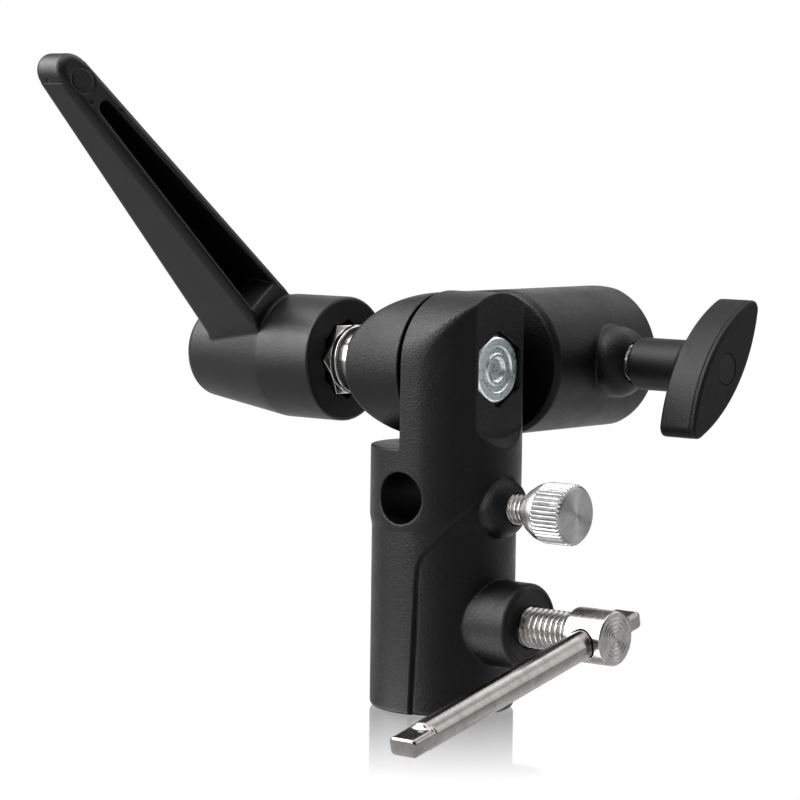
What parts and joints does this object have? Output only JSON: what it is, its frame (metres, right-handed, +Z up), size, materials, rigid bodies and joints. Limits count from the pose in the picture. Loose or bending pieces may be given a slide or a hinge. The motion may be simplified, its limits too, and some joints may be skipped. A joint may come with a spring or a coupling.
{
  "type": "umbrella swivel bracket",
  "caption": "Tilting light stand bracket: socket column with umbrella hole and clamp screws, stud socket head on a friction pivot, ratchet clamp lever.",
  "frame": {"origin": "centre of the stand socket's mouth, in the column's foot plane", "axes": "+Z up the column, +X along the tilt axis towards the clamp screws, +Y along the head barrel at rest"},
  "size_m": [0.1096, 0.1108, 0.1285],
  "materials": {
    "black_casting": "matte",
    "friction_fibre": "matte",
    "zinc_steel": "satin",
    "bright_nickel": "polished",
    "lever_plastic": "satin",
    "spring_steel": "satin",
    "black_steel": "satin",
    "brass_tip": "satin",
    "turned_steel": "satin",
    "knurled_alloy": "satin",
    "bright_chrome": "polished",
    "knob_plastic": "satin"
  },
  "bodies": {
    "base": {"stand_socket_body": "black_casting", "tilt_bolt": "zinc_steel", "friction_washer": "friction_fibre"},
    "head": {"head_body": "black_casting"},
    "clamp_washers": {"clamp_washer": "zinc_steel", "clamp_spacer": "bright_nickel"},
    "clamp": {"clamp_nut": "bright_nickel", "lever_retaining_screw": "black_steel", "lever_screw_washer": "zinc_steel", "lever_spring": "spring_steel"},
    "lever": {"lever_handle": "lever_plastic"},
    "umbrella_tip": {"umbrella_screw_tip": "brass_tip"},
    "umbrella_clamp": {"umbrella_screw": "turned_steel", "umbrella_knob": "knurled_alloy"},
    "stand_pad": {"stand_screw_pad": "brass_tip"},
    "stand_clamp": {"stand_screw": "turned_steel"},
    "tommy": {"tommy_bar": "bright_chrome"},
    "head_pad": {"head_screw_pad": "brass_tip"},
    "head_knob": {"head_knob_stud": "turned_steel", "head_knob_wing": "knob_plastic", "head_knob_cap": "knob_plastic"}
  },
  "joints": [
    {"name": "head_tilt", "type": "hinge", "parent": "base", "child": "head", "pos_m": [0, 0, 0.0678], "axis": [1, 0, 0], "range_deg": [-2, 182]},
    {"name": "clamp_feed", "type": "slide", "parent": "base", "child": "clamp_washers", "axis": [-1, 0, 0], "range_m": [0, 0.000938]},
    {"name": "clamp_turn", "type": "hinge", "parent": "clamp_washers", "child": "clamp", "pos_m": [0, 0, 0.0678], "axis": [-1, 0, 0], "range_deg": [-1, 271]},
    {"name": "lever_pull", "type": "slide", "parent": "clamp", "child": "lever", "axis": [-1, 0, 0], "range_m": [0, 0.009], "stiffness_N_per_m": 500, "springref_m": -0.004, "deforming": ["lever_spring"]},
    {"name": "umbrella_feed", "type": "slide", "parent": "base", "child": "umbrella_tip", "axis": [1, 0, 0], "range_m": [-0.003, 0.001]},
    {"name": "umbrella_turn", "type": "hinge", "parent": "umbrella_tip", "child": "umbrella_clamp", "pos_m": [0, 0, 0.0408], "axis": [1, 0, 0], "range_deg": [-1081, 361]},
    {"name": "stand_feed", "type": "slide", "parent": "base", "child": "stand_pad", "axis": [1, 0, 0], "range_m": [-0.00031, 0.00066]},
    {"name": "stand_turn", "type": "hinge", "parent": "stand_pad", "child": "stand_clamp", "pos_m": [0, 0, 0.018], "axis": [1, 0, 0], "range_deg": [-90, 191]},
    {"name": "bar_slide", "type": "slide", "parent": "stand_clamp", "child": "tommy", "axis": [0, 0.9744, 0.225], "range_m": [0, 0.0455]},
    {"name": "knob_feed", "type": "slide", "parent": "head", "child": "head_pad", "axis": [1, 0, 0], "range_m": [-0.0003, 0.0025]},
    {"name": "knob_turn", "type": "hinge", "parent": "head_pad", "child": "head_knob", "pos_m": [0, 0.0365, 0.0678], "axis": [1, 0, 0], "range_deg": [-87, 721]}
  ],
  "couplings": [
    {"joint": "clamp_turn", "follows": "clamp_feed", "rad_per_m": 5026.5},
    {"joint": "umbrella_turn", "follows": "umbrella_feed", "rad_per_m": 6283.2},
    {"joint": "stand_turn", "follows": "stand_feed", "rad_per_m": 5026.5},
    {"joint": "knob_turn", "follows": "knob_feed", "rad_per_m": 5026.5}
  ]
}
